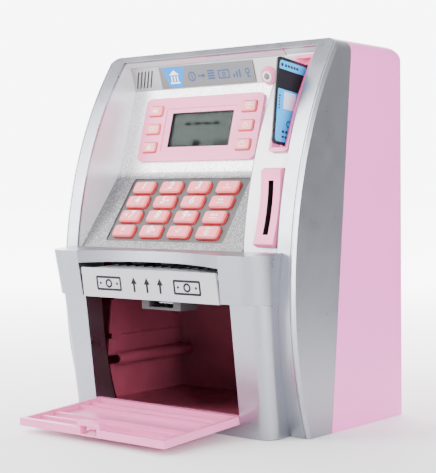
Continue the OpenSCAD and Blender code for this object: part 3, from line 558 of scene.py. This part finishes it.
def lathe(name, profile, centre, place, look, **kw):
    """Turns a closed (radius, z) profile about the plane's normal at centre."""
    bm = bmesh.new()
    steps = LATHE_STEPS
    rows = []
    for k in range(steps):
        turn = math.tau * k / steps
        rows.append([bm.verts.new((centre[0] + r * math.cos(turn), centre[1] + r * math.sin(turn), z))
                     for r, z in profile])
    for k in range(steps):
        a, b = rows[k], rows[(k + 1) % steps]
        for m in range(len(profile)):
            n = (m + 1) % len(profile)
            bm.faces.new((a[m], b[m], b[n], a[n]))
    return piece(name, bm, place, look, **kw)


def disc(x, y, r):
    turns = [math.tau * k / ROUND_STEPS for k in range(ROUND_STEPS)]
    return [(x + r * math.cos(turn), y + r * math.sin(turn)) for turn in turns]


def ring(x, y, r, w):
    return disc(x, y, r), disc(x, y, r - w)


def oblong(x, y, w, h, r):
    """Rounded rectangle centred on x, y."""
    pts = []
    for cx, cy, start in ((1, 1, 0), (-1, 1, 90), (-1, -1, 180), (1, -1, 270)):
        for k in range(CORNER_STEPS + 1):
            a = math.radians(start + 90 * k / CORNER_STEPS)
            pts.append((x + cx * (w / 2 - r) + r * math.cos(a), y + cy * (h / 2 - r) + r * math.sin(a)))
    return pts


def frame_shape(x, y, w, h, r, t):
    """Outline of a rounded rectangle, with a wall t wide."""
    return oblong(x, y, w, h, r), oblong(x, y, w - 2 * t, h - 2 * t, max(r - t, 0.05))


def line(x0, y0, x1, y1, w):
    """A stroke with round ends."""
    a = math.atan2(y1 - y0, x1 - x0)
    pts = []
    for cx, cy, turn in ((x1, y1, -90), (x0, y0, 90)):
        for k in range(7):
            b = a + math.radians(turn + 30 * k)
            pts.append((cx + w / 2 * math.cos(b), cy + w / 2 * math.sin(b)))
    return pts


def arrow(x, y, size, turn):
    """A solid triangle that points along turn degrees."""
    return [(x + size * math.cos(math.radians(turn + a)), y + size * math.sin(math.radians(turn + a)))
            for a in (0, 120, 240)]


def digit(name, text, at, body):
    """A numeral printed on a key, from Blender's own built-in font."""
    curve = bpy.data.curves.new(name, "FONT")
    curve.body, curve.size, curve.shear = text, 8.0, 0.22
    curve.align_x, curve.align_y = "CENTER", "CENTER"
    curve.extrude, curve.offset, curve.resolution_u = 0.03, 0.22, 6
    holder = add_object(name, curve)
    mesh = bpy.data.meshes.new_from_object(holder.evaluated_get(bpy.context.evaluated_depsgraph_get()))
    bpy.data.objects.remove(holder)
    bm = bmesh.new()
    bm.from_mesh(mesh)
    bpy.data.meshes.remove(mesh)
    bm.transform(Matrix.Translation(at))
    bmesh.ops.remove_doubles(bm, verts=bm.verts, dist=0.001)
    return piece(name, bm, KEYPAD, WHITE_INK, body=body, slot="white_plastic", smooth=False)


def key_symbol(code, x, y):
    """Strokes of the symbol on a key that has no numeral."""
    if code.startswith("dots"):
        count = int(code[4])
        dots = [disc(x + 2.2 * (k - (count - 1) / 2), y + 1.0, 0.8) for k in range(count)]
        return [line(x - 2.9, y - 1.3, x + 2.9, y - 1.3, 0.55), *dots]
    if code == "cross":
        return [line(x - 1.5, y + 2.2, x + 1.5, y - 0.6, 0.6), line(x - 1.5, y - 0.6, x + 1.5, y + 2.2, 0.6),
                disc(x, y - 2.6, 0.55)]
    if code == "tick":
        return [line(x - 1.9, y + 0.5, x - 0.5, y - 1.1, 0.65),
                line(x - 0.5, y - 1.1, x + 2.2, y + 2.1, 0.65)]
    return [line(x - 1.5, y + 2.6, x + 1.5, y + 2.6, 0.7), ring(x, y - 0.9, 1.9, 0.5),
            line(x, y - 1.8, x, y, 0.45)]


# Key legends: numerals, four of them with an arrow (up, left, right, down) beside them, and plain symbols.
# An arrow has its x and y from the middle, its direction, and how far the numeral moves aside for it.
KEYS = ["1", "2", "3", "dots1", "4", "5u", "6", "dots2", "7l", "8", "9r", "dots3",
        "cross", "0d", "tick", "coin"]
ARROWS = {"u": (3.4, -0.1, 90, -1.0), "l": (-3.6, 0, 180, 0.9), "r": (3.6, 0, 0, -1.0),
          "d": (3.4, 0.1, 270, -1.0)}
KEY_FACE, BUTTON_FACE = 2.1, 3.5
PRINT = 0.03    # how far the print is above the face, and below it
for i, code in enumerate(KEYS):
    x, y = -51.2 + 24.4 * (i % 4), -13.5 - 12 * (i // 4)
    body = f"key_{i + 1}"
    if code[0].isdigit():
        dx, dy, turn, aside = ARROWS.get(code[1:], (0, 0, 0, 0.0))
        digit(f"legend_{i + 1}", code[0], (x + aside, y + 0.5, KEY_FACE), body)
        strokes = [arrow(x + dx, y + 0.5 + dy, 1.7, turn)] if code[1:] else []
    else:
        strokes = key_symbol(code, x, y)
    if strokes:
        slab(f"symbol_{i + 1}", strokes, KEY_FACE - PRINT, KEY_FACE + PRINT, KEYPAD, WHITE_INK, body=body,
             slot="white_plastic")


def button_symbols(x, y):
    """Volume, balance, coins, clock, lock and box, in the order of the buttons."""
    speaker = [(x - 2.4, y - 0.7), (x - 1.2, y - 0.7), (x + 0.2, y - 1.9), (x + 0.2, y + 1.9),
               (x - 1.2, y + 0.7), (x - 2.4, y + 0.7)]
    return [
        [speaker, line(x + 1.2, y - 0.8, x + 1.2, y + 0.8, 0.4),
         line(x + 2.2, y - 1.5, x + 2.2, y + 1.5, 0.4)],
        [line(x - 2.6, y + 1.9, x + 2.6, y + 1.9, 0.45), line(x - 3.1, y + 0.5, x + 3.1, y + 0.5, 0.45),
         line(x - 1.6, y - 1.3, x + 1.6, y - 1.3, 0.45)],
        [ring(x - 1.3, y, 1.6, 0.4), ring(x + 1.6, y, 1.6, 0.4)],
        [ring(x, y, 1.9, 0.4), line(x, y, x, y + 1.1, 0.35), line(x, y, x + 0.9, y - 0.3, 0.35)],
        [oblong(x, y - 0.7, 3.4, 2.3, 0.3), frame_shape(x, y + 0.9, 2.2, 2.4, 1.0, 0.4)],
        [frame_shape(x, y - 0.2, 5.0, 2.8, 0.4, 0.4), line(x - 1.2, y + 2.0, x + 1.2, y + 2.0, 0.4)],
    ]


# Button pictograms, in three rows of two
for i in range(6):
    x, y = (-56, 25.7)[i % 2], (-16.6, -29.8, -43)[i // 2]
    slab(f"button_mark_{i + 1}", button_symbols(x, y)[i], BUTTON_FACE - PRINT, BUTTON_FACE + PRINT, DISPLAY,
         WHITE_INK, body=f"button_{i + 1}", slot="white_plastic")

# Indicator: white ring round the lens
lathe("indicator_ring", [(2.15, 2.2), (2.15, 2.75), (2.4, 3.0), (3.3, 3.0), (3.62, 2.75), (3.66, 2.2)],
      (38, -12.5), HEADER, RING_WHITE, soft=0.12, slot="white_plastic")

# Black gasket round the display window
lcd_x, lcd_y = -14.1, -30.6
slab("display_gasket", [frame_shape(lcd_x, lcd_y, 53.74, 24.64, 0.5, 0.4)], 0.62, 1.3, DISPLAY, BLACK_INK,
     slot="black_plastic")

# Sign: a blue slanted field with a bank building on it
SIGN_FACE = 0.68
field = [(-47.2, -15.6), (-36.6, -15.6), (-31.8, -1.6), (-52.6, -1.6)]
slab("sign_field", [field], SIGN_FACE, SIGN_FACE + 0.05, HEADER, SIGN_BLUE, slot="sign_grey")
x, y = -42.2, -9.2
roof = [(x - 4.6, y + 2.2), (x + 4.6, y + 2.2), (x, y + 5.6)]
columns = [oblong(x + k * 2.6, y - 0.4, 1.1, 3.6, 0.1) for k in (-1, 0, 1)]
slab("sign_building", [roof, *columns, oblong(x, y - 3.3, 8.6, 1.2, 0.1)], SIGN_FACE + 0.03, SIGN_FACE + 0.09,
     HEADER, WHITE_INK, slot="white_plastic")

# Sign row: coin, arrow, pile of notes, bank note, rising bars and key
x, y = -26.5, -8.9
row = [ring(x, y, 3.4, 1.0), line(x, y - 1.3, x, y + 1.3, 1.0)]
row += [line(x + 5.8, y, x + 9.4, y, 1.1), arrow(x + 10.2, y, 2.0, 0)]
row += [oblong(x + 17, y - 2.3 + 1.75 * k, 6.2, 1.2, 0.55) for k in range(4)]
row += [frame_shape(x + 28, y, 9.8, 6.2, 0.7, 1.0), ring(x + 28, y, 1.6, 0.9)]
row += [line(x + 36.5, y - 2.4, x + 36.5, y - 0.9, 1.4), line(x + 39, y - 2.4, x + 39, y + 0.5, 1.4),
        line(x + 41.5, y - 2.4, x + 41.5, y + 1.9, 1.4)]
row += [ring(x + 48, y + 0.9, 2.1, 0.95), line(x + 48, y - 1.0, x + 48, y - 3.2, 1.0),
        line(x + 48, y - 2.9, x + 49.7, y - 3.0, 0.9)]
slab("sign_row", row, SIGN_FACE, SIGN_FACE + 0.06, HEADER, SLATE_INK, slot="sign_grey")

# Display segments, on the face of the clear window so that they read sharply
x, y = lcd_x, lcd_y
bars = [oblong(x - 12.6 + 8.4 * k, y + 4.4, 4.2, 1.6, 0.3) for k in range(4)]
small = [frame_shape(x - 3.2, y - 9.4, 7.2, 3.4, 0.3, 0.5), oblong(x - 3.2, y - 9.4, 4.8, 1.5, 0.2),
         ring(x - 22.4, y - 9.9, 1.1, 0.3), line(x - 17.4, y - 10.6, x - 16.8, y - 9.0, 0.3),
         line(x - 11.4, y - 10.6, x - 10.8, y - 9.0, 0.3), line(x + 9.0, y - 9.0, x + 11.0, y - 9.0, 0.45)]
small.append(frame_shape(x + 14, y - 9.6, 2.5, 3.6, 0.2, 0.45))
small.append(line(x + 13.3, y - 9.6, x + 14.7, y - 9.6, 0.4))
small += [frame_shape(x + 14 + 4.2 * k, y - 9.6, 2.5, 3.6, 0.2, 0.45) for k in (1, 2)]
slab("lcd_segments", bars + small, 0.6, 0.64, DISPLAY, LCD_INK, slot="lcd_grey")

# Label plate: two bank notes, and between them three arrows that point up to the slot
PLATE = plane_at(-90.5, 82.5, -9.49)
y = 9.0
marks = []
for x in (-33, 33):
    marks += [frame_shape(x, y, 22, 9.6, 1.2, 1.5), ring(x, y, 3.0, 1.4)]
    marks += [disc(x - 7.2, y, 0.9), disc(x + 7.2, y, 0.9)]
for x in (-11, 0, 11):
    marks += [line(x, y - 4.2, x, y + 0.8, 1.7), arrow(x, y + 2.0, 3.0, 90)]
slab("label_pictogram", marks, -0.03, 0.04, PLATE, BLACK_INK, slot="black_plastic")

# Latch: bright spring leaf in the back of the pocket
bm = bmesh.new()
path = [(-73.8, 79.6), (-73.4, 78.6), (-72.4, 78.0), (-69.5, 77.7), (-65.0, 77.6)]
strip = path + [(a, b - 0.45) for a, b in reversed(path)]
ends = [[bm.verts.new((x, a, b)) for a, b in strip] for x in (-6, 6)]
for k in range(len(strip)):
    n = (k + 1) % len(strip)
    bm.faces.new((ends[0][k], ends[0][n], ends[1][n], ends[1][k]))
bm.faces.new(ends[0])
bm.faces.new(ends[1])
piece("latch_leaf", bm, Matrix(), LOOKS["steel"], soft=0.1, slot="steel")

# Card: printed faces on the black core. x runs from the free edge inwards, y up the card's width
CARD = (Matrix.Translation((74 * MM, -57.2 * MM, 206.8 * MM)) @ turned(-6.5, "X") @ turned(90, "Z")
        @ turned(90, "X"))
CARD_BACK = CARD @ Matrix.Scale(-1, 4, Vector((0, 0, 1)))
CARD_INK = (0.40, 0.44)    # from and to, out from the middle of the card's thickness
stripe = [(2.4, 7.4), (83.3, 7.4), (83.3, 19.6), (2.4, 19.6)]
for side, at in (("right", CARD), ("left", CARD_BACK)):
    slab(f"card_face_{side}", [oblong(43, 0, 80.8, 50.2, 2.2)], 0.38, 0.42, at, CARD_BLUE, body="card",
         slot="card_blue")
    slab(f"card_stripe_{side}", [stripe], *CARD_INK, at, BLACK_INK, body="card", slot="card_blue")
slab("card_panel", [oblong(15.5, 0.9, 12.5, 10.6, 0.4), oblong(55, 0.9, 40, 9, 0.6)], *CARD_INK, CARD,
     LAVENDER, body="card", slot="card_blue")
marks = [oblong(5.2, 22.3, 2.2, 1.9, 0.4)]
marks += [oblong(9.2 + 3.0 * k, 22.3, 2.1, 1.6, 0.3) for k in range(5)]
marks += [oblong(4.8, -4.5 + 1.9 * k, 1.3, 1.1, 0.3) for k in range(5)]
marks.append(ring(15.5, -13.4, 2.1, 0.7))
marks += [oblong(10.5 + 3.4 * k, -18.6, 2.3, 1.6, 0.3) for k in range(5)]
marks += [oblong(10.5 + 3.4 * k, -21.8, 2.3, 1.3, 0.3) for k in range(4)]
slab("card_marks", marks, *CARD_INK, CARD, BLACK_INK, body="card", slot="card_blue")
slab("card_chip", [oblong(16, -3, 11, 9, 1.2)], *CARD_INK, CARD_BACK, GOLD, body="card", slot="brass")

# ---------- stage ----------


def stage_floor():
    """Plain pale table top, as rings of faces about the origin."""
    bm = bmesh.new()
    steps = 96
    rows = []
    for r in (0.3, 0.8, 1.6, 3.2, 6.0, 12.0):
        turns = [math.tau * k / steps for k in range(steps)]
        rows.append([bm.verts.new((r * math.cos(turn), r * math.sin(turn), FLOOR_Z)) for turn in turns])
    centre = bm.verts.new((0, 0, FLOOR_Z))
    for k in range(steps):
        bm.faces.new((centre, rows[0][k], rows[0][(k + 1) % steps]))
        for a, b in zip(rows, rows[1:]):
            bm.faces.new((a[k], b[k], b[(k + 1) % steps], a[(k + 1) % steps]))
    mesh = bpy.data.meshes.new("floor")
    bm.to_mesh(mesh)
    bm.free()
    floor = add_object("floor", mesh)
    p = Look("floor_paper", specular=0.2)
    # The far floor glows like the backdrop, but only inside the cone that the camera sees
    away = p.node("ShaderNodeVectorMath", operation="SUBTRACT")
    p.join(p.place, away.inputs[0])
    away.inputs[1].default_value = (CAMERA_AT[0], CAMERA_AT[1], FLOOR_Z)
    unit = p.node("ShaderNodeVectorMath", operation="NORMALIZE")
    p.join(away.outputs[0], unit.inputs[0])
    seen = p.spread(p.dot(unit.outputs[0], CAMERA_AHEAD), 0.0, 1.0, 0.93, 0.978)
    glow = p.spread(p.dot(p.place, CAMERA_AHEAD), 0.0, 6.5, -0.1, 1.2)
    p.set("Emission Color", (1, 1, 1, 1))
    p.join(p.calc("MULTIPLY", seen, glow), p.bsdf.inputs["Emission Strength"])
    # Outside it, the paper is painted grey towards the rear right, where the silver side looks: painted
    # shade, so that the side reflects a darker floor
    beside = p.spread(p.dot(p.place, (0.62, 0.78, 0.0)), 0.0, 1.0, 0.3, 0.75)
    dim = p.calc("MULTIPLY", beside, p.calc("SUBTRACT", 1.0, seen))
    pale = p.ramp(p.noise(3, 3), [(0.3, (0.90, 0.90, 0.905)), (0.7, (0.93, 0.93, 0.93))])
    shade = p.ramp(p.noise(5, 3), [(0.3, (0.40, 0.40, 0.41)), (0.7, (0.44, 0.44, 0.45))])
    p.colour(p.mix(dim, pale, shade))
    p.rough(0.6, 0.7, 20)
    mesh.materials.append(p.bumps((p.noise(700, 3), 0.02), edge=0))


def area_light(name, at, target, size, power, colour=(1, 1, 1)):
    data = bpy.data.lights.new(name, "AREA")
    data.shape, data.size, data.size_y = "RECTANGLE", size[0], size[1]
    data.energy, data.color = power, colour
    obj = add_object(name, data)
    obj.location = at
    obj.rotation_euler = (Vector(target) - Vector(at)).to_track_quat("-Z", "Y").to_euler()


stage_floor()
area_light("key_light", (-1.15, -1.45, 0.95), (0, 0, 0.12), (1.0, 1.7), 68)
area_light("fill_light", (2.1, -0.7, 0.55), (0, 0, 0.13), (1.4, 1.0), 46, (1.0, 0.985, 0.985))
area_light("rim_light", (1.5, -1.25, 0.62), (0, 0, 0.12), (0.16, 1.3), 26)
area_light("top_light", (0.0, 0.1, 2.2), (0, 0, 0.1), (1.8, 1.8), 42)

world = bpy.data.worlds.new("studio")
bpy.context.scene.world = world
world.use_nodes = True
tree = world.node_tree
tree.nodes.clear()
coord = tree.nodes.new("ShaderNodeTexCoord")
toward = tree.nodes.new("ShaderNodeVectorMath")
toward.operation = "DOT_PRODUCT"
toward.inputs[1].default_value = (-0.819, 0.574, 0.0)      # the bright backdrop is to the rear left
ramp = tree.nodes.new("ShaderNodeValToRGB")
back = tree.nodes.new("ShaderNodeBackground")
out = tree.nodes.new("ShaderNodeOutputWorld")
ramp.color_ramp.elements.new(0.5)
for element, (at, level) in zip(ramp.color_ramp.elements, ((0.1, 0.075), (0.62, 0.16), (0.87, 1.0))):
    element.position, element.color = at, (level, level, level * 1.02, 1)
tree.links.new(coord.outputs["Generated"], toward.inputs[0])
tree.links.new(toward.outputs["Value"], ramp.inputs["Fac"])
tree.links.new(ramp.outputs["Color"], back.inputs["Color"])
back.inputs["Strength"].default_value = 8.0
tree.links.new(back.outputs[0], out.inputs[0])

cam_data = bpy.data.cameras.new("camera")
cam_data.lens, cam_data.sensor_width, cam_data.sensor_fit = 93.87, 36, "AUTO"
cam_data.clip_start, cam_data.clip_end = 0.01, 50
cam = add_object("camera", cam_data)
cam.matrix_world = (Matrix.Translation(CAMERA_AT) @ turned(CAMERA_TURN, "Z") @ turned(90 - CAMERA_TILT, "X")
                    @ turned(CAMERA_ROLL, "Z"))
bpy.context.scene.camera = cam
